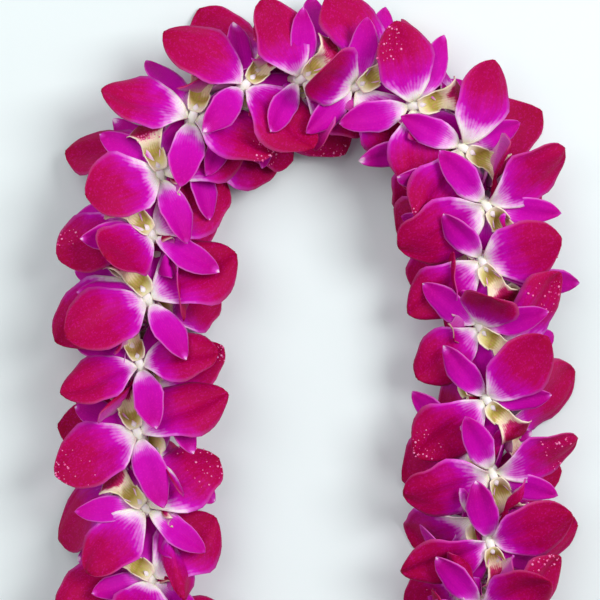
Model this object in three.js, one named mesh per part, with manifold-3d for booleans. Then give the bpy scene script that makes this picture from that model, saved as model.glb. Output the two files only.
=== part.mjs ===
// A fresh dendrobium orchid lei, laid down as a long loop: blossoms threaded side by side on one cotton string.
// Millimetres, +Z up. The loop's long axis runs along Y and its lowest petals rest on the plane z = 0.

import * as THREE from "three";
import { mergeVertices } from "three/addons/utils/BufferGeometryUtils.js";
import Module from "manifold-3d";

const wasm = await Module();
wasm.setup();

// ---------- Driving dimensions ----------

const STRING_LENGTH = 1020; // once round the middle line of the garland
const BEND_RADIUS = 71; // of the string at both ends of the loop
const STRING_HEIGHT = 20; // of the string's middle above the surface
const STRING_DIAMETER = 1.2;
const STRING_SIDES = 8;
const HOLE_SIDES = 4; // of the hole that the needle left in each ovary
const STRING_STEPS = 80;
const KNOT_DIAMETER = 2.8;
const KNOT_PLACE = 1.7; // along the string, midway between two blossoms
const TAIL_LENGTH = 9;

const ROUNDS_ON_SIDE = 10; // of three blossoms, along each straight side
const ROUNDS_ON_BEND = 9; // the blossoms crowd a little where the string bends
const FIRST_BLOSSOM = 0.57; // rounds past the middle of the near bend
const SOLID_EVERY = 2; // every second blossom is a solid of its own here
const AROUND = [90, 32, 148]; // degrees round the string: one up, then one to each side and a little up
const AROUND_SWAY = [16, 28, 28];
const LEAN = 24; // degrees that a blossom's face leans along the string
const LEAN_SWAY = 9;
const ROLL = 36; // degrees that the top sepal is turned about the blossom's own axis
const ROLL_SWAY = 16;

const THROAT_DISTANCE = 14; // from the string, along the blossom's axis
const SPUR_LENGTH = 3; // behind the string
const OVARY_RADIUS = 2.2;
const THROAT_RADIUS = 4.2;
const OVARY_TURN = 9; // degrees that its six sides are turned from the top sepal
const TEPAL_THICKNESS = 1.2;
const CUP_DEPTH = 6; // that a petal's tip stands in front of the throat
const NOTCH_RADIUS = 5; // where two neighbouring tepals part
const SPREAD = 0.9; // how far a pressed tip slides forwards for each millimetre it is pressed
const SLOPE = 1.2; // how far forwards a pressed tip's upper edge reaches, as a share of its thickness

// The six lobes of a blossom, counterclockwise from the top sepal. An edge lists points on one side of a
// lobe, from its foot to its tip: the share of the length, and the share of the half width.
const PETAL_EDGE = [[0.5, 0.95], [0.86, 0.72], [1, 0]];
const SEPAL_EDGE = [[0.5, 1], [1, 0]];
const LIP_EDGE = [[0.55, 1], [1, 0.6]];
const LOBES = [
  { turn: 0, length: 29, width: 13, edge: SEPAL_EDGE },
  { turn: 70, length: 34, width: 23, edge: PETAL_EDGE },
  { turn: 130, length: 28, width: 12, edge: SEPAL_EDGE },
  { turn: 180, length: 20, width: 8, edge: LIP_EDGE },
  { turn: 230, length: 28, width: 12, edge: SEPAL_EDGE },
  { turn: 290, length: 34, width: 23, edge: PETAL_EDGE },
];

const CLEARANCE = 0.3; // left between neighbours
const SAME_POINT = 0.0001;
const SLIVER = 0.04; // corners closer than this after a cut become one
const NEIGHBOUR_REACH = 75; // blossoms further apart than this can't touch

const HALF_STRAIGHT = (STRING_LENGTH - 2 * Math.PI * BEND_RADIUS) / 4;
const ROUNDS = 2 * (ROUNDS_ON_SIDE + ROUNDS_ON_BEND);
const BLOSSOMS_STRUNG = AROUND.length * ROUNDS;
const LONGEST_LOBE = Math.max(...LOBES.map((lobe) => lobe.length));
const UP = new THREE.Vector3(0, 0, 1);

// ---------- The string's route ----------

// The middle line of the loop, from the near end up the left side, round the far end and back.
class LoopLine extends THREE.Curve {
  constructor(from, to) {
    super();
    this.from = from;
    this.to = to;
  }

  getPoint(share, target = new THREE.Vector3()) {
    return target.copy(alongLoop(this.from + share * (this.to - this.from)).point);
  }
}

// The point and the outward direction at a distance along the string.
function alongLoop(distance) {
  const quarter = (Math.PI / 2) * BEND_RADIUS;
  const straight = 2 * HALF_STRAIGHT;
  const round = ((distance % STRING_LENGTH) + STRING_LENGTH) % STRING_LENGTH;
  const leftSide = quarter;
  const farBend = leftSide + straight;
  const rightSide = farBend + 2 * quarter;
  const lastBend = rightSide + straight;
  if (round >= leftSide && round < farBend)
    return onSide(-1, round - leftSide - HALF_STRAIGHT);
  if (round >= rightSide && round < lastBend)
    return onSide(1, HALF_STRAIGHT - (round - rightSide));
  if (round >= farBend && round < rightSide)
    return onBend(1, Math.PI - (round - farBend) / BEND_RADIUS);
  if (round < leftSide)
    return onBend(-1, -Math.PI / 2 - round / BEND_RADIUS);
  return onBend(-1, -(round - lastBend) / BEND_RADIUS);
}

function onSide(side, y) {
  return {
    point: new THREE.Vector3(side * BEND_RADIUS, y, STRING_HEIGHT),
    outward: new THREE.Vector3(side, 0, 0),
  };
}

function onBend(end, angle) {
  const outward = new THREE.Vector3(Math.cos(angle), Math.sin(angle), 0);
  const point = outward.clone().multiplyScalar(BEND_RADIUS);
  point.y += end * HALF_STRAIGHT;
  point.z = STRING_HEIGHT;
  return { point, outward };
}

// ---------- Solids ----------

function solidOf(geometry, apart = SAME_POINT) {
  const bare = geometry.clone();
  bare.deleteAttribute("normal");
  bare.deleteAttribute("uv");
  const merged = mergeVertices(bare, apart);
  return new wasm.Manifold(
    new wasm.Mesh({
      numProp: 3,
      vertProperties: new Float32Array(merged.attributes.position.array),
      triVerts: new Uint32Array(merged.index.array),
    }),
  );
}

function geometryOf(solid) {
  const mesh = solid.getMesh();
  const geometry = new THREE.BufferGeometry();
  geometry.setAttribute("position", new THREE.BufferAttribute(mesh.vertProperties, 3));
  geometry.setIndex(new THREE.BufferAttribute(mesh.triVerts, 1));
  const faceted = geometry.toNonIndexed();
  faceted.computeVertexNormals();
  return faceted;
}

function joined(solids) {
  return solids.reduce((whole, solid) => whole.add(solid));
}

// The largest piece of a cut solid, without the slivers that a cut leaves along its edges.
function cleaned(solid) {
  const pieces = solidOf(geometryOf(solid), SLIVER).decompose();
  return pieces.sort((a, b) => b.volume() - a.volume())[0];
}

// ---------- One blossom ----------

// A direction in the plane of the face, in degrees counterclockwise from the top sepal.
function across(turn, radius, sideways = 0) {
  const angle = THREE.MathUtils.degToRad(turn);
  return new THREE.Vector2(
    -radius * Math.sin(angle) + sideways * Math.cos(angle),
    radius * Math.cos(angle) + sideways * Math.sin(angle),
  );
}

// The outline of all six lobes, grown by a margin.
function faceOutline(margin) {
  const points = [];
  LOBES.forEach(({ turn, length, width, edge }, i) => {
    const next = LOBES[(i + 1) % LOBES.length].turn + (i + 1 === LOBES.length ? 360 : 0);
    const reach = length + margin;
    const half = width / 2 + margin;
    const right = edge.map(([along, side]) => across(turn, along * reach, side * half));
    const left = edge.map(([along, side]) => across(turn, along * reach, -side * half));
    const tipIsShared = edge.at(-1)[1] === 0;
    points.push(...right, ...(tipIsShared ? left.slice(0, -1) : left).reverse());
    points.push(across((turn + next) / 2, NOTCH_RADIUS + margin));
  });
  return points;
}

// The five tepals and the lip as one thin cupped plate, in place in the garland. Where it would reach
// through the surface it bends forwards and lies flat on it, front side up.
function face(pose, margin) {
  const depth = TEPAL_THICKNESS + 2 * margin;
  const plate = new THREE.ExtrudeGeometry(new THREE.Shape(faceOutline(margin)), {
    depth,
    bevelEnabled: false,
  });
  const corners = plate.attributes.position;
  const facing = new THREE.Vector3().setFromMatrixColumn(pose, 2);
  const forwards = facing.clone().setZ(0).normalize();
  const corner = new THREE.Vector3();
  for (let i = 0; i < corners.count; i++) {
    const side = corners.getZ(i) > depth / 2 ? 1 : -1;
    const radius = Math.hypot(corners.getX(i), corners.getY(i));
    const level = THROAT_DISTANCE + CUP_DEPTH * (radius / LONGEST_LOBE) ** 2;
    corner.set(corners.getX(i), corners.getY(i), level).applyMatrix4(pose);
    const sunk = TEPAL_THICKNESS / 2 - corner.z;
    if (sunk > 0) {
      corner.addScaledVector(forwards, SPREAD * sunk + (side * SLOPE * depth) / 2);
      corner.z = (TEPAL_THICKNESS + side * depth) / 2;
    } else {
      corner.addScaledVector(facing, (side * depth) / 2);
    }
    corners.setXYZ(i, corner.x, corner.y, corner.z);
  }
  return solidOf(plate);
}

// The ovary that the needle goes through, widening to the throat.
function ovary(pose, margin) {
  const length = SPUR_LENGTH + THROAT_DISTANCE + margin;
  const body = new THREE.CylinderGeometry(THROAT_RADIUS + margin, OVARY_RADIUS + margin, length, 6);
  body.rotateX(Math.PI / 2);
  body.rotateZ(THREE.MathUtils.degToRad(OVARY_TURN));
  body.translate(0, 0, length / 2 - SPUR_LENGTH - margin);
  body.applyMatrix4(pose);
  return solidOf(body);
}

function blossom(pose, margin = 0) {
  return face(pose, margin).add(ovary(pose, margin));
}

// ---------- Where the blossoms sit ----------

// A steady unevenness between -1 and 1, so that no two blossoms stand alike.
function sway(index, kind) {
  return Math.sin(12.9898 * index + 78.233 * kind);
}

// How far along the string a number of rounds of blossoms reaches, from the middle of the near bend.
function distanceOf(rounds) {
  const bend = Math.PI * BEND_RADIUS;
  const straight = 2 * HALF_STRAIGHT;
  const stretches = [
    [ROUNDS_ON_BEND / 2, bend / 2],
    [ROUNDS_ON_SIDE, straight],
    [ROUNDS_ON_BEND, bend],
    [ROUNDS_ON_SIDE, straight],
    [ROUNDS_ON_BEND / 2, bend / 2],
  ];
  let distance = 0;
  let left = rounds % ROUNDS;
  for (const [count, length] of stretches) {
    distance += (Math.min(left, count) / count) * length;
    left = Math.max(left - count, 0);
  }
  return distance;
}

// A blossom's own frame: X across its face, Y towards its top sepal, Z out of its face, origin on the string.
function poseOf(index) {
  const { point, outward } = alongLoop(distanceOf(index / AROUND.length + FIRST_BLOSSOM));
  const along = new THREE.Vector3().crossVectors(outward, UP);
  const around = THREE.MathUtils.degToRad(AROUND[index % 3] + AROUND_SWAY[index % 3] * sway(index, 1));
  const lean = THREE.MathUtils.degToRad(LEAN + LEAN_SWAY * sway(index, 2));
  const roll = THREE.MathUtils.degToRad(ROLL + ROLL_SWAY * sway(index, 3));
  const away = outward.multiplyScalar(Math.cos(around)).addScaledVector(UP, Math.sin(around));
  const facing = away.clone().multiplyScalar(Math.cos(lean)).addScaledVector(along, Math.sin(lean));
  const top = away.clone().multiplyScalar(Math.sin(lean)).addScaledVector(along, -Math.cos(lean));
  top.applyAxisAngle(facing, roll);
  const sideways = new THREE.Vector3().crossVectors(top, facing);
  return new THREE.Matrix4().makeBasis(sideways, top, facing).setPosition(point);
}

// ---------- The string, with its knot and two cut tails ----------

function stringSolid(sides, margin = 0) {
  const radius = (STRING_DIAMETER / 2 + margin) / Math.cos(Math.PI / sides);
  const corners = [];
  for (let side = 0; side < sides; side++) {
    const angle = (side / sides) * 2 * Math.PI;
    corners.push(new THREE.Vector2(radius * Math.cos(angle), radius * Math.sin(angle)));
  }
  const gap = 0.35 * KNOT_DIAMETER;
  const run = new THREE.ExtrudeGeometry(new THREE.Shape(corners), {
    steps: STRING_STEPS,
    bevelEnabled: false,
    extrudePath: new LoopLine(KNOT_PLACE + gap, KNOT_PLACE + STRING_LENGTH - gap),
  });
  const { point } = alongLoop(KNOT_PLACE);
  const knot = new THREE.SphereGeometry(KNOT_DIAMETER / 2 + margin, 10, 7);
  knot.scale(1, 0.85, 1);
  knot.translate(point.x, point.y, point.z);
  const tails = [-1, 1].map((side) => {
    const tail = new THREE.CylinderGeometry(radius, radius, TAIL_LENGTH + margin, sides);
    tail.translate(0, (TAIL_LENGTH + margin) / 2, 0);
    tail.rotateZ(side * 0.5);
    tail.translate(point.x, point.y, point.z);
    return solidOf(tail);
  });
  return joined([solidOf(run), solidOf(knot), ...tails]);
}

// ---------- The lei ----------

const petalMaterial = new THREE.MeshStandardMaterial({ color: 0xb8007d, roughness: 0.5, metalness: 0 });
const cottonMaterial = new THREE.MeshStandardMaterial({ color: 0xe9e4d4, roughness: 0.9, metalness: 0 });

const lei = new THREE.Group();

const string = new THREE.Mesh(geometryOf(cleaned(stringSolid(STRING_SIDES))), cottonMaterial);
string.name = "string";
lei.add(string);

const stringSpace = stringSolid(HOLE_SIDES, CLEARANCE);
const placed = [];
for (let index = 0; index < BLOSSOMS_STRUNG; index += SOLID_EVERY) {
  const pose = poseOf(index);
  const centre = new THREE.Vector3(0, 0, THROAT_DISTANCE).applyMatrix4(pose);
  let solid = blossom(pose).subtract(stringSpace);
  for (const neighbour of placed) {
    if (neighbour.centre.distanceTo(centre) < NEIGHBOUR_REACH)
      solid = solid.subtract(neighbour.space);
  }
  placed.push({ centre, space: blossom(pose, CLEARANCE) });
  const local = geometryOf(cleaned(solid)).applyMatrix4(pose.clone().invert());
  const mesh = new THREE.Mesh(local, petalMaterial);
  mesh.name = "blossom_" + String(placed.length).padStart(2, "0");
  pose.decompose(mesh.position, mesh.quaternion, mesh.scale);
  lei.add(mesh);
}

// The origin is the middle of the garland's own footprint, on the surface it rests on.
const extent = new THREE.Box3().setFromObject(lei, true);
const middle = extent.getCenter(new THREE.Vector3());
lei.position.set(-middle.x, -middle.y, -extent.min.z);

export default lei;
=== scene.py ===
# %% [markdown]
# # A fresh orchid lei
# A lei is a garland of fresh blossoms on one cotton string. This one has 114 blossoms of a purple
# dendrobium orchid, threaded through their ovaries so close together that the string can't be seen.
# Twelve model blossoms are made, each a little different, and their copies are turned to their places on
# the string and bent out of each other's way. Lengths are in metres, and the lei lies where the packed
# solids say.

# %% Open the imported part
import math
import random

import bpy
import numpy as np
from mathutils import Matrix, Vector
from mathutils.bvhtree import BVHTree


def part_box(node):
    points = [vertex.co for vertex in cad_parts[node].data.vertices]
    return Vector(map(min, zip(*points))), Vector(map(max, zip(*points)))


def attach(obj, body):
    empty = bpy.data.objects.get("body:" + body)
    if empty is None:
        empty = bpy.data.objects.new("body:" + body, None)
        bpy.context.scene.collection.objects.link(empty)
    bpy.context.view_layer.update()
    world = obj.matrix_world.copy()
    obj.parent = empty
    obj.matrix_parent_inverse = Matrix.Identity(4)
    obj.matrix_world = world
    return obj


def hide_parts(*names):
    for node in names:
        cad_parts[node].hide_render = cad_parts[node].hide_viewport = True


MM = 0.001
TINY = 0.001
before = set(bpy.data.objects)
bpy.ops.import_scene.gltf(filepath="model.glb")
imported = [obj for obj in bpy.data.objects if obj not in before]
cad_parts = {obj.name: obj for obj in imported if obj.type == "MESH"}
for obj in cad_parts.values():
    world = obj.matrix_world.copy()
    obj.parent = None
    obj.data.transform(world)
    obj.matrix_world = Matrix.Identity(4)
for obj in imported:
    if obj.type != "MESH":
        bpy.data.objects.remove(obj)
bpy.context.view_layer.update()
print("solids in the packed part:", len(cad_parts))

# %% [markdown]
# ## The route of the string
# The string makes a long loop: two straight sides joined by two half circles. Its place comes from the
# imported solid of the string, so the blossoms end up round the solids that stand for them. Distances
# along it start in the middle of the near bend and run up the left side.

# %% The loop
STRING_LENGTH = 1020 * MM
BEND_RADIUS = 71 * MM
STRING_RADIUS = 0.6 * MM

string_low, string_high = (Vector(corner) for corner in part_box("string"))
HALF_STRAIGHT = (STRING_LENGTH - 2 * math.pi * BEND_RADIUS) / 4
LOOP_CENTRE = (string_low + string_high) / 2
LOOP_CENTRE.y = string_high.y - STRING_RADIUS - BEND_RADIUS - HALF_STRAIGHT


def along_loop(distance):
    """The point of the string at a distance along it, and the direction that leads out of the loop there."""
    quarter = math.pi / 2 * BEND_RADIUS
    straight = 2 * HALF_STRAIGHT
    far_bend = quarter + straight
    right_side = far_bend + 2 * quarter
    last_bend = right_side + straight
    if quarter <= distance < far_bend:
        outward = Vector((-1, 0, 0))
        middle = Vector((0, distance - quarter - HALF_STRAIGHT, 0))
    elif right_side <= distance < last_bend:
        outward = Vector((1, 0, 0))
        middle = Vector((0, HALF_STRAIGHT - (distance - right_side), 0))
    else:
        far = far_bend <= distance < right_side
        from_near = distance if distance < quarter else distance - STRING_LENGTH
        turned = (distance - far_bend) / BEND_RADIUS
        angle = math.pi - turned if far else -math.pi / 2 - from_near / BEND_RADIUS
        outward = Vector((math.cos(angle), math.sin(angle), 0))
        middle = Vector((0, HALF_STRAIGHT if far else -HALF_STRAIGHT, 0))
    return LOOP_CENTRE + middle + BEND_RADIUS * outward, outward


print("string height above the surface:", round(LOOP_CENTRE.z / MM, 1), "mm")

# %% [markdown]
# ## Where each blossom sits
# The blossoms go on in rounds of three: the first of a round faces up, the others to each side and a
# little up. How many rounds fit on a side and on a bend gives each blossom its distance along the string.

# %% How far along the string a blossom sits
ROUNDS_ON_SIDE = 10
ROUNDS_ON_BEND = 9
FIRST_BLOSSOM = 0.57
IN_ROUND = 3
ROUNDS = 2 * (ROUNDS_ON_SIDE + ROUNDS_ON_BEND)
BLOSSOMS = IN_ROUND * ROUNDS


def distance_of(rounds):
    """How far along the string a number of rounds of blossoms reaches."""
    bend = math.pi * BEND_RADIUS
    straight = 2 * HALF_STRAIGHT
    lengths = np.cumsum([0, bend / 2, straight, bend, straight, bend / 2])
    half_bend = ROUNDS_ON_BEND / 2
    counts = np.cumsum([0, half_bend, ROUNDS_ON_SIDE, ROUNDS_ON_BEND, ROUNDS_ON_SIDE, half_bend])
    return float(np.interp(rounds % ROUNDS, counts, lengths))


def seat_of(index):
    """The point of the string where a blossom sits, and the direction out of the loop there."""
    return along_loop(distance_of(index / IN_ROUND + FIRST_BLOSSOM))


def faces_up(index):
    """Whether a blossom is the one of its round that faces up."""
    return index % IN_ROUND == 0


print("blossoms on the string:", BLOSSOMS)

# %% [markdown]
# ## How each blossom is turned
# Every face leans along the string and is turned a little about its own axis, which is how the needle
# leaves it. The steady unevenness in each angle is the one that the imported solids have. Angles are in
# degrees, and a blossom's direction about the string is counted from the outer side of the loop, so 90 is
# straight up.

# %% A blossom's own frame
AROUND, AROUND_SWAY = (90, 32, 148), (16, 28, 28)
LEAN, LEAN_SWAY = 24, 9
ROLL, ROLL_SWAY = 36, 16
SWAY_STEP, SWAY_OFFSET = 12.9898, 78.233
UP = Vector((0, 0, 1))


def sway(index, kind):
    """A steady unevenness between -1 and 1, different for each blossom and each kind of angle."""
    return math.sin(SWAY_STEP * index + SWAY_OFFSET * kind)


def pose_of(index):
    """A blossom's own frame: X across its face, Y towards its top sepal, Z out of its face."""
    point, outward = seat_of(index)
    along = outward.cross(UP)
    place = index % IN_ROUND
    around = math.radians(AROUND[place] + AROUND_SWAY[place] * sway(index, 1))
    lean = math.radians(LEAN + LEAN_SWAY * sway(index, 2))
    roll = math.radians(ROLL + ROLL_SWAY * sway(index, 3))
    away = math.cos(around) * outward + math.sin(around) * UP
    facing = math.cos(lean) * away + math.sin(lean) * along
    top = math.sin(lean) * away - math.cos(lean) * along
    top.rotate(Matrix.Rotation(roll, 3, facing))
    turned = Matrix((top.cross(facing), top, facing)).transposed().to_4x4()
    return Matrix.Translation(point) @ turned


print("the first blossom faces", [round(value, 2) for value in pose_of(0).col[2].xyz])

# %% [markdown]
# ## Colours and nodes
# Colours are written the way a paint shop gives them, from 0 to 255, and turned into the linear values
# that the shaders work in. A few small helpers keep the node graphs short. A material could also be built
# by hand in the shader editor, with the same nodes and links.

# %% Colour and node helpers
def paint(red, green, blue):
    """A colour from 0 to 255 a channel, as linear RGBA."""
    def linear(channel):
        if channel > 10:
            return ((channel / 255 + 0.055) / 1.055) ** 2.4
        return channel / 255 / 12.92
    return linear(red), linear(green), linear(blue), 1


def fill(tree, node, sockets):
    """Fills a node's sockets with numbers and colours, or links them to other sockets."""
    for name, value in sockets.items():
        if isinstance(value, bpy.types.NodeSocket):
            tree.links.new(value, node.inputs[name])
        else:
            node.inputs[name].default_value = value


def add(tree, kind, sockets, **settings):
    """A new node with its settings and its sockets."""
    made = tree.nodes.new("ShaderNode" + kind)
    for name, value in settings.items():
        setattr(made, name, value)
    fill(tree, made, sockets)
    return made


def maths(tree, operation, first, second=0.0, third=0.0):
    """The result of one sum on up to three numbers or sockets."""
    return add(tree, "Math", {0: first, 1: second, 2: third}, operation=operation).outputs[0]


def spread_out(tree, value, lowest, highest, low, high):
    """A value that runs from low to high while another runs from lowest to highest."""
    limits = {"From Min": lowest, "From Max": highest, "To Min": low, "To Max": high}
    return add(tree, "MapRange", {"Value": value, **limits}).outputs[0]


print("crimson in linear values:", [round(value, 3) for value in paint(158, 0, 54)])

# %% [markdown]
# ## Ramps, layers and patterns
# Nearly every finish here is a ramp of colours read along the piece, another colour laid over it in
# places, and a little relief. The patterns that follow a petal read its own map, in which X runs from edge
# to edge and Y from base to tip. The others read the place in the garland.

# %% Ramps, layers and patterns
def ramp(tree, factor, stops):
    """The colour at factor along a row of stops, each a place and a colour from 0 to 255."""
    made = add(tree, "ValToRGB", {"Fac": factor})
    elements = made.color_ramp.elements
    while len(elements) < len(stops):
        elements.new(0.5)
    for element, (place, colour) in zip(elements, stops):
        element.position = place
        element.color = paint(*colour)
    return made.outputs["Color"]


def laid_over(tree, factor, under, over):
    """One colour laid over another, as far as factor says."""
    return add(tree, "Mix", {"Factor": factor, 6: under, 7: over}, data_type="RGBA").outputs[2]


def relief(tree, height, strength, depth):
    """A bump of the surface: the normal to give to its shader."""
    sockets = {"Strength": strength, "Distance": depth, "Height": height}
    return add(tree, "Bump", sockets).outputs["Normal"]


def noise(tree, place, scale, detail=2.0):
    """Soft clouds from 0 to 1."""
    return add(tree, "TexNoise", {"Vector": place, "Scale": scale, "Detail": detail}).outputs["Fac"]


def own_map(tree):
    """The piece's own map: edge to edge, base to tip, and both together."""
    place = add(tree, "UVMap", {}, uv_map="UVMap").outputs["UV"]
    axes = add(tree, "SeparateXYZ", {"Vector": place})
    return axes.outputs["X"], axes.outputs["Y"], place


def garland_place(tree):
    """The place in the garland, in metres."""
    return add(tree, "TexCoord", {}).outputs["Object"]


def new_finish(name):
    """A material with an empty graph but for its shader: the material, its tree and its shader."""
    finish = bpy.data.materials.new(name)
    finish.use_nodes = True
    return finish, finish.node_tree, finish.node_tree.nodes["Principled BSDF"]


print("materials so far:", len(bpy.data.materials))

# %% [markdown]
# ## The finish of a petal
# A petal is white in the throat, then lilac, a glowing purple magenta, and crimson at its far end. Its
# cells sparkle, in painted highlights of brighter magenta, and faint veins fan out from the base to the edge.
# Every petal keeps a map of its own, so all of that follows it however it bends. The back is dusty pink
# with plainer veins. A value stored on each blossom shifts the colours, as on flowers picked on different
# days.

# %% The colours along a petal
CLOUD_SHIFT = 0.26
TONE_SHIFT = 0.12
EDGE_SHIFT, EDGE_POWER = -0.12, 2.5
RIM_FADE = -0.75


def centred(tree, pattern, amount, place):
    """A place moved by a pattern from 0 to 1, half the amount back and half on."""
    return maths(tree, "MULTIPLY_ADD", pattern, amount, maths(tree, "ADD", place, -amount / 2))


def petal_colour(tree, look, cloud, veins, thin):
    """The colour from base to tip, with darker veins and a paler edge.

    look has stops, the colours from base to tip; vein and edge, each a colour and how strong it is; rim,
    where the edge begins; and rays, how far the pale throat runs out along the veins.
    """
    across, along, _ = own_map(tree)
    edge = maths(tree, "ABSOLUTE", maths(tree, "MULTIPLY_ADD", across, 2.0, -1.0))
    tone = add(tree, "Attribute", {}, attribute_name="tone").outputs["Fac"]
    place = centred(tree, cloud, CLOUD_SHIFT, along)
    place = maths(tree, "MULTIPLY_ADD", tone, TONE_SHIFT, place)
    place = maths(tree, "MULTIPLY_ADD", maths(tree, "POWER", edge, EDGE_POWER), EDGE_SHIFT, place)
    colour = ramp(tree, centred(tree, veins, look["rays"], place), look["stops"])
    rim = spread_out(tree, edge, look["rim"], 1.0, 0.0, 1.0)
    rim = maths(tree, "MULTIPLY", rim, maths(tree, "MULTIPLY_ADD", along, RIM_FADE, 1.0))
    for mask, (over, strength) in ((thin, look["vein"]), (rim, look["edge"])):
        colour = laid_over(tree, maths(tree, "MULTIPLY", mask, strength), colour, paint(*over))
    return colour


print("colours shift by up to", CLOUD_SHIFT / 2, "of the length with the clouds")

# %% [markdown]
# ## The skin of a petal
# A fresh petal is satin, not glossy: light goes a little way into it and comes out pink, and the cells of
# its skin stand up like tiny domes. So the sheen and the light below the surface are tinted, and the bump
# is as fine as the cells. Their sparkle is a painted highlight: brighter magenta specks on some cells.

# %% The skin of a petal
CELL_SCALE = 1700.0
PETAL_SKIN = {
    "Specular IOR Level": 0.07,
    "Sheen Weight": 0.06,
    "Sheen Roughness": 0.4,
    "Sheen Tint": paint(255, 20, 170),
    "Subsurface Weight": 0.12,
    "Subsurface Radius": (1.0, 0.1, 0.5),
    "Subsurface Scale": 1.0 * MM,
}


def petal_finish(name, stops, vein, edge, roughness, rim=0.88, rays=0.04):
    """The finish of one side of a petal, a sepal or the lip."""
    look = {"stops": stops, "vein": vein, "edge": edge, "rim": rim, "rays": rays}
    finish, tree, shader = new_finish(name)
    here = garland_place(tree)
    cloud = noise(tree, here, 170.0, 3.0)
    veins = add(
        tree, "TexWave",
        {"Vector": own_map(tree)[2], "Scale": 3.6, "Distortion": 0.9, "Detail": 2.0, "Detail Scale": 2.0},
        wave_type="BANDS", bands_direction="X",
    ).outputs["Fac"]
    thin = spread_out(tree, veins, 0.0, 0.3, 1.0, 0.0)
    colour = petal_colour(tree, look, cloud, veins, thin)
    cells = add(tree, "TexVoronoi", {"Vector": here, "Scale": CELL_SCALE}).outputs["Color"]
    # painted highlight: brighter magenta specks on some cells of the skin stand for its sparkle
    painted_glint = spread_out(tree, cells, 0.6, 0.95, 0.0, 0.22)
    fill(tree, shader, {
        "Base Color": laid_over(tree, painted_glint, colour, paint(236, 30, 190)),
        "Normal": relief(tree, maths(tree, "MULTIPLY_ADD", thin, -0.5, cells), 0.22, 0.25 * MM),
        "Roughness": spread_out(tree, cloud, 0.0, 1.0, roughness - 0.08, roughness + 0.1),
        **PETAL_SKIN,
    })
    return finish


print("cells of the skin are about", round(1 / CELL_SCALE / MM, 1), "mm wide")

# %% [markdown]
# ## Petals, sepals and lip
# The three kinds share one skin and differ in their colours. Sepals stay purple to the tip, which ends
# pale. The lip has an olive heart in a cream cup and a crimson tongue. Backs are paler than faces.

# %% Petal, sepal and lip finishes
PETAL_STOPS = (
    (0.0, (230, 234, 204)), (0.11, (246, 240, 242)), (0.17, (240, 212, 238)), (0.24, (224, 116, 220)),
    (0.31, (196, 6, 178)), (0.42, (186, 0, 132)), (0.54, (174, 0, 80)), (1.0, (158, 0, 54)),
)
SEPAL_STOPS = (
    (0.0, (226, 232, 196)), (0.12, (244, 232, 242)), (0.2, (236, 190, 234)), (0.29, (212, 62, 204)),
    (0.39, (196, 4, 174)), (0.84, (184, 0, 138)), (0.95, (206, 54, 186)), (1.0, (246, 210, 240)),
)
LIP_STOPS = (
    (0.0, (236, 230, 204)), (0.16, (214, 206, 134)), (0.28, (172, 158, 70)), (0.37, (188, 174, 92)),
    (0.44, (238, 226, 186)), (0.52, (246, 226, 204)), (0.57, (196, 40, 106)), (0.64, (150, 0, 56)),
    (1.0, (142, 0, 50)),
)
BACK_STOPS = (
    (0.0, (214, 214, 180)), (0.2, (232, 186, 216)), (0.45, (206, 84, 186)), (0.75, (188, 18, 132)),
    (1.0, (180, 8, 104)),
)
PALE_BACK_STOPS = (
    (0.0, (214, 214, 180)), (0.2, (236, 204, 222)), (0.5, (218, 140, 200)), (0.8, (204, 84, 182)),
    (1.0, (226, 160, 212)),
)
petal_face = petal_finish("petal_face", PETAL_STOPS, ((150, 0, 90), 0.16), ((250, 150, 235), 0.3), 0.6)
petal_back = petal_finish("petal_back", BACK_STOPS, ((150, 0, 90), 0.22), ((240, 190, 225), 0.2), 0.65)
sepal_face = petal_finish("sepal_face", SEPAL_STOPS, ((160, 0, 140), 0.14), ((252, 170, 245), 0.6), 0.6)
sepal_back = petal_finish(
    "sepal_back", PALE_BACK_STOPS, ((180, 60, 150), 0.25), ((244, 210, 234), 0.5), 0.65)
lip_face = petal_finish(
    "lip_face", LIP_STOPS, ((90, 0, 30), 0.1), ((250, 240, 214), 1.0), 0.65, rim=0.7, rays=0.02)
lip_back = petal_finish("lip_back", BACK_STOPS, ((150, 10, 80), 0.3), ((240, 190, 220), 0.4), 0.65)
print("petal finishes:", [m.name for m in bpy.data.materials if m.name.endswith(("face", "back"))])

# %% [markdown]
# ## Wax and skin
# The column in the middle of an orchid is waxy and white, and greener at its foot. The ovary and its chin
# are pale green flushed with pink. Both are firmer than petals, so their gloss is stronger, and more light
# goes into them.

# %% Column and ovary finishes
WAX_CLOUD_SHIFT = 0.3


def waxy_finish(name, stops, roughness):
    """Colours from foot to tip by the piece's own map, clouded a little, with a soft waxy gloss."""
    finish, tree, shader = new_finish(name)
    cloud = noise(tree, garland_place(tree), 420.0, 3.0)
    fill(tree, shader, {
        "Base Color": ramp(tree, centred(tree, cloud, WAX_CLOUD_SHIFT, own_map(tree)[1]), stops),
        "Normal": relief(tree, cloud, 0.25, 0.3 * MM),
        "Roughness": spread_out(tree, cloud, 0.0, 1.0, roughness - 0.1, roughness + 0.1),
        "Subsurface Weight": 0.25,
        "Subsurface Radius": (1.0, 0.8, 0.5),
        "Subsurface Scale": 1.5 * MM,
    })
    return finish


COLUMN_STOPS = (
    (0.0, (214, 216, 160)), (0.4, (238, 236, 218)), (0.7, (246, 242, 240)), (1.0, (240, 222, 234)),
)
OVARY_STOPS = (
    (0.0, (188, 190, 132)), (0.35, (216, 196, 178)), (0.7, (232, 204, 216)), (1.0, (244, 236, 232)),
)
column_wax = waxy_finish("column_wax", COLUMN_STOPS, 0.4)
ovary_skin = waxy_finish("ovary_skin", OVARY_STOPS, 0.5)
print("waxy finishes:", column_wax.name, ovary_skin.name)
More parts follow.
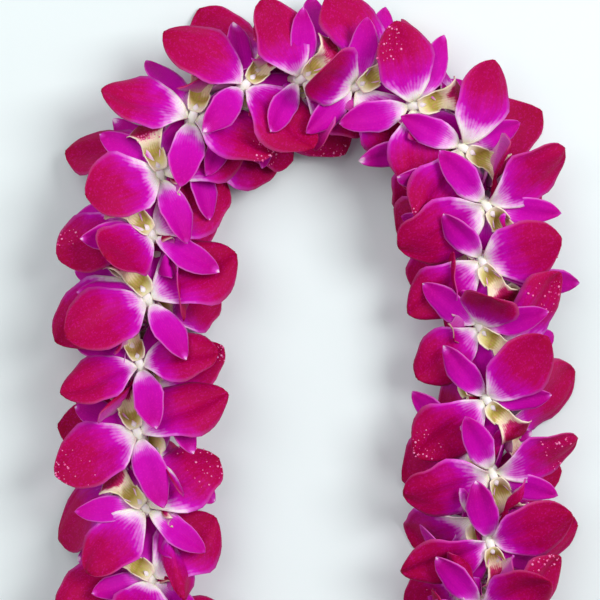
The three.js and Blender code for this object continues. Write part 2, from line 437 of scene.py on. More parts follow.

# %% [markdown]
# ## Dew and cotton
# A drop this small shows the petal's pink through it and the room's light on top, so it is made a glossy
# pink bead. See-through water would take far longer to render for the same few specks. The string is white
# cotton, twisted, which a wave across its length shows well enough for something so thin, in relief and in
# painted shade that darkens its grooves. The imported solid itself gets this finish.

# %% Dew and cotton finishes
def dew_finish():
    """Glossy drops, pink from the petal below, with the faintest ripple."""
    finish, tree, shader = new_finish("dew")
    ripple = noise(tree, garland_place(tree), 900.0)
    fill(tree, shader, {
        "Base Color": ramp(tree, ripple, ((0.35, (226, 40, 130)), (0.65, (246, 150, 205)))),
        "Normal": relief(tree, ripple, 0.05, 0.1 * MM),
        "Roughness": 0.06,
        "IOR": 1.33,
    })
    return finish


def cotton_finish():
    """White cotton thread, with the slant of its twist in height, and painted shade darkening the grooves of
    the twist.
    """
    finish, tree, shader = new_finish("cotton_thread")
    twist = add(
        tree, "TexWave", {"Vector": garland_place(tree), "Scale": 420.0, "Distortion": 1.5, "Detail": 2.0},
        wave_type="BANDS", bands_direction="DIAGONAL",
    ).outputs["Fac"]
    # painted shade: the low bands of the twist are darker, as shade in the grooves would be
    groove_shaded_threads = ((0.0, (196, 188, 166)), (0.45, (232, 226, 208)), (1.0, (246, 242, 230)))
    fill(tree, shader, {
        "Base Color": ramp(tree, twist, groove_shaded_threads),
        "Normal": relief(tree, twist, 0.6, 0.2 * MM),
        "Roughness": 0.9,
        "Sheen Weight": 0.3,
    })
    return finish


dew = dew_finish()
string_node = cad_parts["string"]
string_node.data.materials.clear()
string_node.data.materials.append(cotton_finish())
FINISHES = (petal_face, petal_back, sepal_face, sepal_back, lip_face, lip_back, column_wax, ovary_skin, dew)
print("finishes:", len(FINISHES) + 1)

# %% [markdown]
# ## Working on points
# A petal's curves are easier to write as a few formulas than to push about by hand, so an operator adds
# each plain shape and its points are then moved all at once. These helpers do that, and they give a piece
# its finish and store numbers on its points. Every piece carries the whole list of finishes, because the
# numbers of the finishes then stay true when pieces are joined.

# %% Reading and writing points
PETAL, SEPAL, LIP = 0, 2, 4
COLUMN, OVARY, DEW = 6, 7, 8


def between(values, places):
    """A row of design values, spread evenly from base to tip, read at some places."""
    return np.interp(places, np.linspace(0, 1, len(values)), values)


def points_of(piece):
    """The piece's points as rows of x, y, z."""
    flat = np.empty(len(piece.data.vertices) * 3)
    piece.data.vertices.foreach_get("co", flat)
    return flat.reshape(-1, 3)


def set_points(piece, points):
    """Moves every point of the piece."""
    piece.data.vertices.foreach_set("co", points.ravel())
    piece.data.update()


def paint_faces(piece, finish):
    """Gives every face of the piece one finish, by its number in FINISHES."""
    for material in FINISHES:
        piece.data.materials.append(material)
    piece.data.polygons.foreach_set("material_index", [finish] * len(piece.data.polygons))


def note(piece, name, values):
    """Stores a number on every point of the piece, under a name."""
    made = piece.data.attributes.new(name, "FLOAT", "POINT")
    made.data.foreach_set("value", np.broadcast_to(values, len(piece.data.vertices)).astype(np.float32))


def noted(piece, name):
    """The numbers stored under a name."""
    values = np.empty(len(piece.data.vertices), np.float32)
    piece.data.attributes[name].data.foreach_get("value", values)
    return values


print("finish of a drop:", FINISHES[DEW].name)

# %% [markdown]
# ## The outline of a tepal
# Orchids have three sepals and two petals that look much alike, and botanists call them all tepals. An
# outline is an arch, whose powers move its widest place and sharpen its ends. Outlines drawn by hand would
# look as good, but each of the 60 tepals wants one of its own.

# %% The outline of a tepal
def leaf_outline(width, power, base, tip):
    """Half widths from base to tip. A higher power puts the widest place nearer the tip.

    base and tip say how slender the outline is at each end: 0.5 is round and 1 is pointed.
    """
    def half(share):
        arch = np.sin(np.pi * np.clip(share, 0.004, 0.9985) ** power)
        return width / 2 * arch ** (base + (tip - base) * np.clip(share * 1.6 - 0.3, 0, 1))
    return half


example = leaf_outline(27, 1.1, 0.74, 0.55)
print("half widths of a petal in mm:", [round(float(example(share)), 1) for share in (0.1, 0.5, 0.9)])

# %% [markdown]
# ## Bending a tepal
# Each tepal is a flat grid whose points are moved to its outline, bent along its middle line, hollowed or
# arched from edge to edge, ruffled and twisted. A grid gives even faces and a map from base to tip, and a
# cut-out circle gives neither. The middle line is a row of short steps, each at its own slope, so the
# tepal keeps its length when it bends.

# %% Middle line and cross-section
STEPS = 200
NEARLY_FLAT = 0.02
MIDRIB_DEPTH, MIDRIB_WIDTH = 0.09, 0.22
CREASE_DEPTH = 0.8
BETWEEN_EDGES = 1.9


def middle_line(slopes, length, share):
    """How far out and up the middle line is at each share of its length, and its slope there."""
    fine = np.linspace(0, 1, STEPS)
    slope = np.radians(between(slopes, fine))
    step = length / (STEPS - 1)
    out = np.concatenate(([0], np.cumsum(np.cos(slope[:-1])) * step))
    rise = np.concatenate(([0], np.cumsum(np.sin(slope[:-1])) * step))
    return np.interp(share, fine, out), np.interp(share, fine, rise), np.radians(between(slopes, share))


def nibbled(half, side, share, phase):
    """An outline made a little uneven, differently on its two sides."""
    nibble = 0.07 * np.sin(9 * share + phase) + 0.035 * np.sin(19 * share + 2 * phase)
    return half * (1 + nibble * np.sign(side) * np.abs(side))


def hollowed(half, hollow, side, share):
    """Each point's way sideways and its lift, on an arc from edge to edge with a groove down its middle."""
    bend = between(hollow, share)
    bend = np.where(np.abs(bend) < NEARLY_FLAT, NEARLY_FLAT, bend)
    sideways = half * np.sin(bend * side) / bend
    lift = half * (1 - np.cos(bend * side)) / bend
    groove = MIDRIB_DEPTH * half * np.exp(-((side / MIDRIB_WIDTH) ** 2)) * np.sin(np.pi * share)
    return sideways, lift - groove


def ruffled(lift, half, ruffle, side, share):
    """The lift with waves along the edges and faint creases across, both fading where it is slender."""
    waves, depth, phase = ruffle
    slender = half / half.max()
    wave = np.sin(2 * np.pi * waves * share + phase + np.where(side > 0, BETWEEN_EDGES, 0.0))
    lift = lift + depth * np.abs(side) ** 2.5 * wave * share * (1.15 - share) * slender
    crease = np.sin(4.1 * share + 2.3 * side + phase) * np.sin(2.7 * side - 3.3 * share + 2 * phase)
    return lift + CREASE_DEPTH * depth * crease * share * slender


out, rise, _ = middle_line([50, 0, -18], 36, np.array([1.0]))
print("a 36 mm petal reaches", round(float(out[0]), 1), "mm out and", round(float(rise[0]), 1), "mm up")

# %% [markdown]
# ## One tepal
# Here the steps above come together. Rows of the grid are gathered a little towards both ends, where the
# outline curves most.

# %% Shaping a tepal
GATHERED = 0.075


def tepal(kind, turn, length, outline, slopes, hollow, ruffle, twist, start, columns, rows):
    """One tepal in the blossom's own frame.

    turn is its direction, in degrees counterclockwise from the top sepal. slopes are the rises of its
    middle line in degrees, from base to tip, and hollow how far in radians its edges turn up. ruffle is
    how many waves run along its edge, how deep, and where they begin. start is how far from the axis and
    how far up it begins.
    """
    bpy.ops.object.select_all(action="DESELECT")
    bpy.ops.mesh.primitive_grid_add(x_subdivisions=columns, y_subdivisions=rows, size=2)
    piece = bpy.context.object
    flat = points_of(piece)
    side = flat[:, 0]
    share = (flat[:, 1] + 1) / 2
    share = share - GATHERED * np.sin(2 * np.pi * share)

    half = nibbled(outline(share), side, share, ruffle[2])
    sideways, lift = hollowed(half, hollow, side, share)
    lift = ruffled(lift, half, ruffle, side, share)
    angle = np.radians(twist) * share
    sideways, lift = (
        sideways * np.cos(angle) - lift * np.sin(angle),
        sideways * np.sin(angle) + lift * np.cos(angle),
    )
    out, rise, slope = middle_line(slopes, length, share)
    radial = start[0] + out - lift * np.sin(slope)
    height = start[1] + rise + lift * np.cos(slope)
    turned = math.radians(turn)
    set_points(piece, np.column_stack((
        -math.sin(turned) * radial + math.cos(turned) * sideways,
        math.cos(turned) * radial + math.sin(turned) * sideways,
        height,
    )))
    paint_faces(piece, kind)
    note(piece, "share", share)
    return piece


print("rows are gathered by up to", GATHERED, "of the length")

# %% [markdown]
# ## The lip
# The lip is the orchid's landing place. Its base is a small cream cup with an olive heart, whose sides
# stand up beside the column, and beyond its rim a crimson tongue curls back. It is a tepal too, but its
# width swells twice and it bends far more.

# %% Shaping the lip
LIP_LENGTH = 26 * MM
LIP_START = (1.2 * MM, 11.6 * MM)
LIP_HALF_WIDTHS = (2.8, 5.4, 6.7, 6.9, 6.3, 5.0, 5.0, 7.4, 8.4, 6.4, 1.6)
LIP_SLOPES = (6, -16, -22, 40, 80, 10, -46, -50, -40)
LIP_HOLLOW = (0.8, 1.5, 1.7, 1.6, 1.3, 0.7, 0.1, -0.3, -0.4)
LIP_WAVES, LIP_WAVE_DEPTH = 3.0, 1.2 * MM
CURL_FROM = 5


def lip(rng):
    """The lip in the blossom's own frame: cup, rim and tongue."""
    def half(share):
        return between(LIP_HALF_WIDTHS, share) * MM
    curl = rng.uniform(-10, 12)
    slopes = [slope + curl * (place >= CURL_FROM) for place, slope in enumerate(LIP_SLOPES)]
    ruffle = (LIP_WAVES, LIP_WAVE_DEPTH, rng.uniform(0, 6))
    return tepal(
        LIP, 180 + rng.uniform(-4, 4), LIP_LENGTH, half, slopes, LIP_HOLLOW, ruffle, 0, LIP_START,
        columns=12, rows=20)


print("the lip is", round(2 * max(LIP_HALF_WIDTHS), 1), "mm wide when flat")

# %% [markdown]
# ## Column, ovary and chin
# These are rounded forms, so each begins as a sphere whose rings are moved to a new outline, as clay on a
# wheel is. The column leans a little over the lip and is hollowed under its hood. The ovary is what the
# needle goes through. The chin is the blunt spur behind the lip where the side sepals meet. Their sizes are
# written in millimetres.

# %% Rounded forms
COLUMN_FOOT, COLUMN_TIP = 6, 15
CHIN_FOOT, CHIN_TOP, CHIN_SLANT = 1.5, 8.4, 7
HOLLOW_HEIGHT, HOLLOW_WIDTH, HOLLOW_LENGTH = 12.6, 1.3, 1.6


def turned_form(outline, low, high, segments, rings):
    """A round form about the Z axis: outline holds its radii, spread evenly from low to high."""
    bpy.ops.object.select_all(action="DESELECT")
    bpy.ops.mesh.primitive_uv_sphere_add(segments=segments, ring_count=rings, radius=1)
    piece = bpy.context.object
    ball = points_of(piece)
    share = np.arccos(np.clip(-ball[:, 2], -1, 1)) / np.pi
    around = np.arctan2(ball[:, 1], ball[:, 0])
    radius = np.where((share < TINY) | (share > 1 - TINY), 0, between(outline, share)) * MM
    set_points(piece, np.column_stack(
        (radius * np.cos(around), radius * np.sin(around), (low + (high - low) * share) * MM)))
    return piece


def column(rng):
    """The white column, hooded at its tip and hollow on the side of the lip."""
    piece = turned_form((2.2, 2.2, 2.1, 1.9, 1.7, 1.6, 1.5, 1.1, 0.0), COLUMN_FOOT, COLUMN_TIP, 16, 12)
    points = points_of(piece) / MM
    lean = (points[:, 2] - COLUMN_FOOT) / (COLUMN_TIP - COLUMN_FOOT)
    aside = (points[:, 0] / HOLLOW_WIDTH) ** 2
    above = ((points[:, 2] - HOLLOW_HEIGHT) / HOLLOW_LENGTH) ** 2
    under = np.exp(-aside - above) * (points[:, 1] < 0)
    points[:, 1] += 1.2 + 1.7 * under - (6.0 + rng.uniform(-0.6, 0.6)) * lean**1.7
    points[:, 2] -= 2.4 * lean**2
    set_points(piece, points * MM)
    paint_faces(piece, COLUMN)
    return piece


def ovary():
    """The ovary, round the string, widening into the throat."""
    piece = turned_form((1.2, 1.9, 2.0, 2.0, 2.1, 2.3, 2.7, 2.9, 1.6), -3, 9.8, 10, 9)
    paint_faces(piece, OVARY)
    return piece


def chin(rng):
    """The blunt spur behind the lip."""
    piece = turned_form((0.8, 1.5, 1.9, 2.2, 2.4, 2.4, 1.6), CHIN_FOOT, CHIN_TOP, 8, 7)
    points = points_of(piece) / MM
    back = (CHIN_TOP - points[:, 2]) / CHIN_SLANT
    points[:, 1] -= 1.6 + (3.4 + rng.uniform(-0.6, 0.6)) * back
    set_points(piece, points * MM)
    paint_faces(piece, OVARY)
    return piece


print("the column is", COLUMN_TIP - COLUMN_FOOT, "mm long before it leans")

# %% [markdown]
# ## The tepals of a model blossom
# Twelve model blossoms are enough. Each one's tepals differ in length, width, bend, ruffle and twist. They
# are sheets with no thickness until they are in place. The column, ovary and chin are solid already, so a
# model is kept as two pieces.

# %% Sepals, petals and lip as one sheet
MODELS = 12
TOP_SEPAL_SLOPES = (34, 6, -4, -8, -8, -10, -14)
SIDE_SEPAL_SLOPES = (48, 16, 6, 2, 0, -4, -10)
PETAL_SLOPES = (50, 18, 8, 2, 0, -4, -10, -18)
SEPAL_HOLLOW = (0.9, 0.35, 0.2, 0.15, 0.15, 0.3)
PETAL_HOLLOW = (1.0, 0.4, 0.1, -0.1, -0.2, -0.3, -0.3)
SEPAL_START = (1.6 * MM, 7.8 * MM)
PETAL_START = (1.5 * MM, 8.8 * MM)
SEPALS = (
    (0, 29.5, 12.6, TOP_SEPAL_SLOPES), (134, 28.5, 12, SIDE_SEPAL_SLOPES), (226, 28.5, 12, SIDE_SEPAL_SLOPES))
PETAL_TURNS = (81, 279)
PETAL_LENGTH, PETAL_WIDTH = 36, 27
rng = random.Random(11)


def wavy(low, high, waves):
    """A ruffle of a random depth and beginning."""
    return waves, rng.uniform(low, high) * MM, rng.uniform(0, 6.28)


def shifted(slopes, spread):
    """Slopes raised or lowered, more and more towards the tip."""
    whole = rng.uniform(-spread, spread)
    return [slope + whole * place / len(slopes) for place, slope in enumerate(slopes)]


def sepal(turn, length, width, slopes):
    """One sepal, a little unlike the next."""
    return tepal(
        SEPAL, turn + rng.uniform(-6, 6), length * rng.uniform(0.92, 1.08) * MM,
        leaf_outline(width * rng.uniform(0.94, 1.06) * MM, 1.05, 0.75, rng.uniform(0.6, 0.74)),
        shifted(slopes, 16), SEPAL_HOLLOW, wavy(0.5, 1.5, 1.2), rng.uniform(-16, 16), SEPAL_START,
        columns=8, rows=12)


def petal(turn):
    """One petal, wider and more ruffled than a sepal."""
    return tepal(
        PETAL, turn + rng.uniform(-7, 7), PETAL_LENGTH * rng.uniform(0.92, 1.07) * MM,
        leaf_outline(
            PETAL_WIDTH * rng.uniform(0.88, 1.08) * MM, rng.uniform(1.04, 1.2), 0.74,
            rng.uniform(0.47, 0.64)),
        shifted(PETAL_SLOPES, 24), PETAL_HOLLOW, wavy(1.4, 3.8, 1.5), rng.uniform(-20, 20), PETAL_START,
        columns=14, rows=16)


print("tepals in a blossom:", len(SEPALS) + len(PETAL_TURNS), "and a lip")

# %% [markdown]
# ## Hinges
# Later every tepal and lip is bent again to clear its neighbours, and here they are all called lobes. The
# place where a lobe hinges is worked out now, with how much each of its points gives: nothing at the hinge
# and most at the tip. The cup of the lip is stiff, and only its tongue gives.

# %% Hinges of the lobes
LIP_PLACE = 5
LIP_RIM = 0.5
HINGE_WIDTH = 0.03


def lobe_of(sheets, place, lobe, share, points):
    """One lobe: its points, its faces by its own points, its hinge's place and line, and its give."""
    mine = np.flatnonzero(lobe == place)
    number = {old: new for new, old in enumerate(mine)}
    faces = [
        [number[corner] for corner in face.vertices]
        for face in sheets.data.polygons if face.vertices[0] in number
    ]
    begins = LIP_RIM if place == LIP_PLACE else 0
    base = points[mine[np.abs(share[mine] - begins) < HINGE_WIDTH]].mean(axis=0)
    tip = points[mine[share[mine].argmax()]]
    hinge = UP.cross(Vector((tip[0], tip[1], 0)).normalized())
    give = np.clip((share[mine] - begins) / (1 - begins), 0, 1) ** 0.6
    return mine, faces, base, hinge, give


def lobes_of(sheets):
    """All the lobes of a model's sheets, in the order in which they were made."""
    lobe = noted(sheets, "lobe").round().astype(int)
    share = noted(sheets, "share")
    points = points_of(sheets)
    return [lobe_of(sheets, place, lobe, share, points) for place in range(lobe.max() + 1)]


print("the lip hinges at", LIP_RIM, "of its length")

# %% [markdown]
# ## The model blossoms
# A join makes one piece of several, and the numbers stored before it say which point belongs to which lobe.

# %% Making the models
def joined(pieces, name):
    """Several pieces joined into the first of them, under a new name."""
    bpy.ops.object.select_all(action="DESELECT")
    for piece in pieces:
        piece.select_set(True)
    bpy.context.view_layer.objects.active = pieces[0]
    bpy.ops.object.join()
    whole = bpy.context.object
    whole.name = name
    whole.data.name = name
    return whole


def smooth(piece):
    """Shades the piece smooth."""
    piece.data.polygons.foreach_set("use_smooth", [True] * len(piece.data.polygons))
    return piece


def sheets_model(number):
    """The three sepals, two petals and the lip of one model blossom, as one sheet."""
    pieces = [sepal(*measures) for measures in SEPALS]
    pieces += [petal(turn) for turn in PETAL_TURNS]
    pieces.append(lip(rng))
    for place, piece in enumerate(pieces):
        note(piece, "lobe", place)
    return smooth(joined(pieces, f"model_sheets_{number:02d}"))


models = []
for number in range(MODELS):
    sheets = sheets_model(number)
    core = smooth(joined([column(rng), ovary(), chin(rng)], f"model_core_{number:02d}"))
    models.append((sheets, core, lobes_of(sheets)))
print("points in a model blossom:", len(sheets.data.vertices), "in sheets,", len(core.data.vertices), "solid")

# %% [markdown]
# ## Fitting a blossom into the round
# A copy of a model is scaled and folded a little across its face, so that the twelve models don't show.
# The blossoms that face up have a slightly longer ovary. The upper parts of the side ones are tucked in
# under them, and whatever would reach through the surface spreads out and lies on it, as petals do under
# the weight of a garland.

# %% Folding, tucking and pressing
PRESS_HEIGHT = 5 * MM
SURFACE_GAP = 0.3 * MM
SPREAD = 0.7
TUCK_FROM = 50
TUCK_SHRINK, TUCK_CLOSE = 0.8, 0.5
STRETCHED_PART = 8 * MM
FOLD_REACH = 30 * MM


def folded(points, size, fold, side, stretch):
    """A blossom scaled by size, its ovary stretched, its face folded towards its front along one line."""
    points = points * size
    points[:, 2] += stretch * np.clip(points[:, 2] / STRETCHED_PART, 0, 1)
    reach = points[:, 0] * math.cos(side) + points[:, 1] * math.sin(side)
    points[:, 2] += fold * reach * np.abs(reach) / FOLD_REACH
    return points


def tucked(points, index):
    """Folds the upper parts of a side blossom in under the petals of the blossoms that face up."""
    if faces_up(index):
        return points
    point, outward = seat_of(index)
    side = 1 if AROUND[index % IN_ROUND] < 90 else -1
    arm = points - np.array(point)
    out = arm @ np.array(outward) * side
    reach = np.hypot(out, arm[:, 2])
    angle = np.degrees(np.arctan2(arm[:, 2], out))
    over = np.clip((angle - TUCK_FROM) / (90 - TUCK_FROM), 0, 1)
    over = np.where(angle > -90, over * over * (3 - 2 * over), 0)
    new_reach = reach * (1 - TUCK_SHRINK * over)
    new_angle = np.radians(np.where(angle > TUCK_FROM, TUCK_FROM + (angle - TUCK_FROM) * TUCK_CLOSE, angle))
    shift = new_reach * np.cos(new_angle) - out
    moved = points + np.outer(shift * side, np.array(outward))
    moved[:, 2] = point.z + new_reach * np.sin(new_angle)
    return moved


def pressed(points, facing):
    """Keeps every point above the surface, sliding forwards what is pressed."""
    level = SURFACE_GAP + PRESS_HEIGHT
    low = points[:, 2] < level
    sunk = points[low, 2] - level
    kept = SURFACE_GAP + PRESS_HEIGHT * np.exp(sunk / PRESS_HEIGHT)
    forwards = np.array((facing.x, facing.y, 0.0)) / max(math.hypot(facing.x, facing.y), TINY)
    points[low] += forwards * (SPREAD * (kept - points[low, 2]))[:, None]
    points[low, 2] = kept
    return points


def placed(points, index):
    """Points of a blossom's own frame, in the garland and above the surface."""
    pose = pose_of(index)
    turned = np.array(pose)
    facing = pose.to_3x3() @ UP
    return pressed(tucked(points @ turned[:3, :3].T + turned[:3, 3], index), facing)


print("petals are pressed no closer to the surface than", round(SURFACE_GAP / MM, 1), "mm")

# %% [markdown]
# ## Ways to make room
# In a packed garland petals push each other aside. A lobe can bend forwards or back about its hinge, a
# petal or sepal can swing to one side, and on a side blossom any lobe can crumple, which is done by
# shrinking it a little. Each change has a price, so that petals move no more than they must.

# %% Bends, swings and crumples
BENDS = (0, -8, 8, -16, 16, -26, 26, -38, 38, -52)
FRONT_SWINGS, SIDE_SWINGS = (0, 9, -9, 18, -18, 27, -27), (0, 14)
FRONT_CRUMPLES, SIDE_CRUMPLES = (1,), (1, 0.9, 0.78, 0.66)
BEND_PRICE, SWING_PRICE, CRUMPLE_PRICE, CROSSING_PRICE = 0.1, 0.09, 12, 2


def bent(points, base, hinge, give, angle):
    """A lobe turned about its hinge, more and more towards its tip. A positive angle lifts the tip."""
    if angle == 0:
        return points
    turn = math.radians(-angle) * give
    axis = np.array(hinge)
    arm = points - base
    along_axis = (arm @ axis)[:, None] * axis
    across = arm - along_axis
    aside = np.cross(axis, across)
    return base + along_axis + across * np.cos(turn)[:, None] + aside * np.sin(turn)[:, None]


def tries(swings, crumples):
    """Every swing, bend and crumple to try, each after its price, the cheapest first."""
    def price(swing, bend, crumple):
        return BEND_PRICE * abs(bend) + SWING_PRICE * abs(swing) + CRUMPLE_PRICE * (1 - crumple)

    ways = [(swing, bend, crumple) for swing in swings for bend in BENDS for crumple in crumples]
    return sorted(((price(*way), *way) for way in ways), key=lambda row: row[0])


FRONT_TRIES = tries(FRONT_SWINGS, FRONT_CRUMPLES)
SIDE_TRIES = tries(SIDE_SWINGS, SIDE_CRUMPLES)
print("ways to try on a front blossom:", len(FRONT_TRIES), "and on a side one:", len(SIDE_TRIES))

# %% [markdown]
# ## Lines of sight
# From above, the cup of each lip that faces up shows, with no neighbour's petal over it. To keep it so, an
# upright tube stands on each cup from the start, and the petals of other blossoms avoid it as they avoid
# each other. The tubes are only faces to test against, and no piece is made of them.

# %% Lines of sight
CUP = Vector((0, -6.6, 15.5)) * MM
SIGHT_RADIUS = 4 * MM
SIGHT_LENGTH = 30 * MM
SIGHT_SIDES = 8


def line_of_sight(index):
    """The middle of the tube over a blossom's cup, a tree of its faces, and the blossom that owns it."""
    cup = np.array(pose_of(index) @ CUP)
    turns = np.arange(SIGHT_SIDES) * 2 * math.pi / SIGHT_SIDES
    ring = cup + SIGHT_RADIUS * np.column_stack((np.cos(turns), np.sin(turns), 0 * turns))
    points = np.concatenate((ring, ring + (0, 0, SIGHT_LENGTH)))
    following = [(side + 1) % SIGHT_SIDES for side in range(SIGHT_SIDES)]
    faces = [(side, after, after + SIGHT_SIDES, side + SIGHT_SIDES) for side, after in enumerate(following)]
    return Vector(points.mean(axis=0)), BVHTree.FromPolygons(points.tolist(), faces), index


kept_lobes = [line_of_sight(index) for index in range(BLOSSOMS) if faces_up(index)]
print("lines of sight:", len(kept_lobes))

# %% [markdown]
# ## Making room
# Every lobe goes through its ways to make room before it is kept, and the cheapest wins when each face
# that cuts through a neighbour has its price too. A tree of each lobe's faces makes that quick to count. A
# physical simulation could push the petals apart as well, but it would take many times longer for so many
# thin sheets.

# %% Trying a lobe
NEAR = 75 * MM
crossed = []


def crossings(points, faces, index):
    """How many faces of a lobe cut through the lobes already in place, and the lobe's tree and middle."""
    tree = BVHTree.FromPolygons(points.tolist(), faces)
    middle = Vector(points.mean(axis=0))
    count = sum(
        len(tree.overlap(other)) for centre, other, owner in kept_lobes
        if owner != index and (centre - middle).length < NEAR
    )
    return count, tree, middle


def best_try(points, place, lobe, index):
    """The way to make room for one lobe that costs least: points in the garland, tree, middle, count."""
    mine, faces, base, hinge, give = lobe
    best = (math.inf,)
    for price, swing, bend, crumple in FRONT_TRIES if faces_up(index) else SIDE_TRIES:
        if price >= best[0]:
            break
        if swing and place == LIP_PLACE:
            continue
        kept = np.where(give > 0, crumple, 1)[:, None]
        shape = bent(base + (points[mine] - base) * kept, base, hinge, give, bend)
        shape = shape @ np.array(Matrix.Rotation(math.radians(-swing), 3, "Z"))
        tried = placed(shape, index)
        count, tree, middle = crossings(tried, faces, index)
        cost = price + CROSSING_PRICE * count
        if cost < best[0]:
            best = (cost, tried, tree, middle, count)
    return best[1:]


def settled(points, lobes, index):
    """Every lobe of a blossom bent to where it crosses its neighbours least, in place in the garland."""
    whole = np.empty_like(points)
    fresh = []
    for place, lobe in enumerate(lobes):
        found, tree, middle, count = best_try(points, place, lobe, index)
        whole[lobe[0]] = found
        fresh.append((middle, tree, index))
        crossed.append(count)
    kept_lobes.extend(fresh)
    return whole


print("lobes are tested up to", round(NEAR / MM), "mm apart")

# %% [markdown]
# ## One whole blossom
# Only now do the sheets get their thickness, outwards and inwards alike, with the paler back as the other
# side's finish. Then the blossom becomes one piece, as it grew. The side blossoms are a little larger than
# the ones that face up, because they have more room.

# %% Threading one blossom
TEPAL_THICKNESS = 0.42 * MM
SIZE_IN_ROUND = (1, 1.08, 1.05)
FRONT_STRETCH = 2.2 * MM


def copy_of(model, name):
    """A copy of a model with a mesh of its own."""
    piece = model.copy()
    piece.data = model.data.copy()
    piece.name = name
    bpy.context.collection.objects.link(piece)
    return piece


def thicken(sheets):
    """Gives the sheets their thickness, with each face's own back finish on the other side."""
    bpy.ops.object.select_all(action="DESELECT")
    bpy.context.view_layer.objects.active = sheets
    solidify = sheets.modifiers.new("thickness", "SOLIDIFY")
    solidify.thickness = TEPAL_THICKNESS
    solidify.offset = 0
    solidify.material_offset = 1
    solidify.material_offset_rim = 0
    bpy.ops.object.modifier_apply(modifier=solidify.name)


def threaded(index):
    """The blossom at one place on the string, thick and whole."""
    model_sheets, model_core, lobes = models[index % MODELS]
    size, fold, side = rng.uniform(0.97, 1.1), rng.uniform(-0.16, 0.16), rng.uniform(0, 3.14)
    size = size * SIZE_IN_ROUND[index % IN_ROUND]
    stretch = FRONT_STRETCH if faces_up(index) else 0
    sheets = copy_of(model_sheets, f"sheets_{index:03d}")
    set_points(sheets, settled(folded(points_of(sheets), size, fold, side, stretch), lobes, index))
    core = copy_of(model_core, f"core_{index:03d}")
    set_points(core, placed(folded(points_of(core), size, fold, side, stretch), index))
    thicken(sheets)
    return joined([sheets, core], f"blossom_detail_{index + 1:03d}")


print("a tepal is", round(TEPAL_THICKNESS / MM, 2), "mm thick")

# %% [markdown]
# ## Dew
# The lei has been sprayed to keep it fresh. A drop is a small ball pressed flat, with few faces because it
# is repeated hundreds of times. Drops gather on some petals and leave others dry, so a sprayed blossom
# gets them round one spot only.

# %% One drop
DROPS_EACH = 26
DROP_RADII = (0.2, 0.25, 0.3, 0.4, 0.55)
DROP_FLATNESS, DROP_RISE = 0.62, 0.35
SPRAY_RADIUS = 11 * MM
UPWARDS, OUTER_HALF = 0.7, 0.5
ENOUGH_FACES = 40

bpy.ops.object.select_all(action="DESELECT")
bpy.ops.mesh.primitive_uv_sphere_add(segments=8, ring_count=5, radius=1)
drop = bpy.context.object
drop.name = "model_drop"
paint_faces(smooth(drop), DEW)


def bead_on(blossom, face):
    """A drop that lies somewhere on a face of the blossom."""
    bead = copy_of(drop, "bead")
    radius = rng.choice(DROP_RADII) * MM
    lie = face.normal.to_track_quat("Z", "Y").to_matrix()
    flat = points_of(bead) * np.array((radius, radius, DROP_FLATNESS * radius))
    corner = blossom.data.vertices[rng.choice(face.vertices)].co
    spot = face.center.lerp(corner, rng.uniform(0, 0.9)) + face.normal * DROP_RISE * radius
    set_points(bead, flat @ np.array(lie).T + np.array(spot))
    return bead


def sprayed(blossom):
    """The blossom with drops on the outer half of a petal or lip, if enough of them faces up."""
    share = noted(blossom, "share")
    upper = [
        face for face in blossom.data.polygons
        if face.material_index in (PETAL, LIP) and face.normal.z > UPWARDS
        and share[face.vertices[0]] > OUTER_HALF
    ]
    if len(upper) < ENOUGH_FACES:
        return blossom
    heart = rng.choice(upper).center
    around = [face for face in upper if (face.center - heart).length < SPRAY_RADIUS]
    beads = [bead_on(blossom, face) for face in rng.sample(around, min(DROPS_EACH, len(around)))]
    return joined([blossom, *beads], blossom.name)


print("faces in a drop:", len(drop.data.polygons))

# %% [markdown]
# ## Threading all of them
# The blossoms that face up take their places first, so that they open fully, and the side ones then find
# room round them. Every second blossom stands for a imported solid, which it replaces. The others sit
# between.

# %% Threading all of them
SPRAYED = (0, 3)
SPRAY_CYCLE = 5

blossoms = []
for index in sorted(range(BLOSSOMS), key=lambda index: not faces_up(index)):
    blossom = threaded(index)
    if index % SPRAY_CYCLE in SPRAYED:
        blossom = sprayed(blossom)
    note(blossom, "tone", rng.uniform(-0.6, 0.8))
    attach(blossom, "root")
    if index % 2 == 0:
        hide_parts(f"blossom_{index // 2 + 1:02d}")
    blossoms.append(blossom)
bpy.data.objects.remove(drop)
for sheets, core, _ in models:
    bpy.data.objects.remove(sheets)
    bpy.data.objects.remove(core)
print("faces that still cross:", sum(crossed), "in", sum(count > 0 for count in crossed), "lobes")
print("blossoms threaded:", len(blossoms))
print("faces in all:", sum(len(blossom.data.polygons) for blossom in blossoms))

# %% [markdown]
# ## Surface
# The lei lies on a plain pale board, which isn't part of it. A board with no grain at all looks like empty
# space, so this one has a trace of it.

# %% Surface
def surface_finish():
    """A smooth pale board with a trace of grain."""
    finish, tree, shader = new_finish("pale_board")
    here = garland_place(tree)
    fill(tree, shader, {
        "Base Color": ramp(tree, noise(tree, here, 2.0), ((0.3, (227, 238, 239)), (0.7, (231, 241, 242)))),
        "Normal": relief(tree, noise(tree, here, 900.0), 0.04, 0.2 * MM),
        "Roughness": 0.6,
        "Specular IOR Level": 0.3,
    })
    return finish


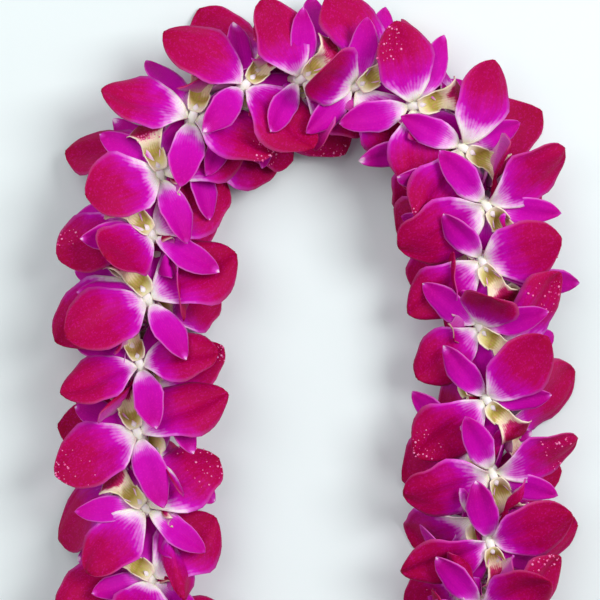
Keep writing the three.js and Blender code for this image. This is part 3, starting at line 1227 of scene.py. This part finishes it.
bpy.ops.mesh.primitive_plane_add(size=4)
surface = bpy.context.object
surface.name = "surface"
surface.data.materials.append(surface_finish())
print("surface:", surface.dimensions.x, "m wide")

# %% [markdown]
# ## Light
# The light is a studio's: soft, and from wide lamps, so the shadows are faint. The main lamp stands to the
# right and its shadows fall to the left. Places are in metres.

# %% Light
ROOM_COLOUR = (0.97, 0.99, 1.0, 1.0)
ROOM_STRENGTH = 0.31


def soft_light(name, place, target, size, power, tint):
    """A square area light that looks at target."""
    bpy.ops.object.light_add(type="AREA", location=place)
    lamp = bpy.context.object
    lamp.name = name
    lamp.rotation_euler = (Vector(target) - Vector(place)).to_track_quat("-Z", "Y").to_euler()
    lamp.data.size = size
    lamp.data.energy = power
    lamp.data.color = tint
    print(name, "shines with", power, "watts")


soft_light("key_light", (0.85, 0.5, 1.25), (0, 0.2, 0), size=0.75, power=17, tint=(1.0, 0.995, 0.985))
soft_light("top_light", (-0.6, 0.6, 1.4), (0, 0.25, 0), size=1.2, power=10.5, tint=(1.0, 1.0, 1.0))
world = bpy.data.worlds.new("soft_room")
bpy.context.scene.world = world
world.use_nodes = True
background = world.node_tree.nodes["Background"]
background.inputs["Color"].default_value = ROOM_COLOUR
background.inputs["Strength"].default_value = ROOM_STRENGTH
bpy.context.scene.view_settings.view_transform = "Standard"

# %% [markdown]
# ## Camera
# The camera looks straight down on the far bend, from a metre above the string, and its lens is as long
# as the width of the view asks for.

# %% Camera
CAMERA_HEIGHT = 1.0
SENSOR_WIDTH = 36
VIEW_WIDTH = 252 * MM
VIEW_CENTRE = Vector((-6.9 * MM, 124.8 * MM, LOOP_CENTRE.z))
bpy.ops.object.camera_add(location=VIEW_CENTRE + Vector((0, 0, CAMERA_HEIGHT)), rotation=(0, 0, 0))
camera = bpy.context.object
camera.data.sensor_width = SENSOR_WIDTH
camera.data.lens = SENSOR_WIDTH * CAMERA_HEIGHT / VIEW_WIDTH
bpy.context.scene.camera = camera
print("lens:", round(camera.data.lens), "mm")
